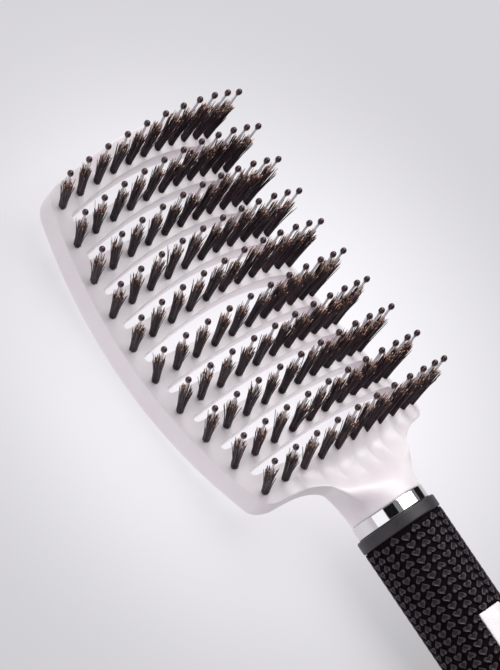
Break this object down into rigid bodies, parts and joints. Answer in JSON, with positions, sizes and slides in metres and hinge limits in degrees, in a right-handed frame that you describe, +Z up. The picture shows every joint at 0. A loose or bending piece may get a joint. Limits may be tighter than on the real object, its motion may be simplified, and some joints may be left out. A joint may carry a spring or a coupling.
{
  "type": "vented paddle brush",
  "caption": "Vented hair brush with a curved head of open bars, bristle tufts with ball-tipped pins, and a round sleeved handle",
  "frame": {"origin": "on the table, under the middle of the brush's length and width, with the brush lying on its back", "axes": "+Z is up, the side that the bristles stand on; +Y runs from the handle towards the tip of the head; +X is across the head"},
  "size_m": [0.0844, 0.2472, 0.0481],
  "materials": {
    "white_plastic": "satin",
    "chrome": "polished",
    "dark_plastic": "satin",
    "grip_rubber": "matt",
    "badge_plastic": "gloss",
    "bristle": "matt",
    "clear_nylon": "gloss",
    "ball_tip": "gloss",
    "staple_steel": "satin"
  },
  "bodies": {
    "root": {"head_frame": "white_plastic", "chrome_ring": "chrome", "grip_collar": "dark_plastic", "grip_sleeve": "grip_rubber", "badge": "badge_plastic", "end_cap": "dark_plastic", "tuft_row_01": "bristle", "tuft_row_02": "bristle", "tuft_row_03": "bristle", "tuft_row_04": "bristle", "tuft_row_05": "bristle", "tuft_row_06": "bristle", "tuft_row_07": "bristle", "tuft_row_08": "bristle", "tuft_row_09": "bristle", "tuft_row_10": "bristle", "pin_row_01": "clear_nylon", "pin_row_02": "clear_nylon", "pin_row_03": "clear_nylon", "pin_row_04": "clear_nylon", "pin_row_05": "clear_nylon", "pin_row_06": "clear_nylon", "pin_row_07": "clear_nylon", "pin_row_08": "clear_nylon", "pin_row_09": "clear_nylon", "pin_row_10": "clear_nylon", "ball_tip_row_01": "ball_tip", "ball_tip_row_02": "ball_tip", "ball_tip_row_03": "ball_tip", "ball_tip_row_04": "ball_tip", "ball_tip_row_05": "ball_tip", "ball_tip_row_06": "ball_tip", "ball_tip_row_07": "ball_tip", "ball_tip_row_08": "ball_tip", "ball_tip_row_09": "ball_tip", "ball_tip_row_10": "ball_tip", "staple_row_01": "staple_steel", "staple_row_02": "staple_steel", "staple_row_03": "staple_steel", "staple_row_04": "staple_steel", "staple_row_05": "staple_steel", "staple_row_06": "staple_steel", "staple_row_07": "staple_steel", "staple_row_08": "staple_steel", "staple_row_09": "staple_steel", "staple_row_10": "staple_steel"}
  },
  "joints": []
}
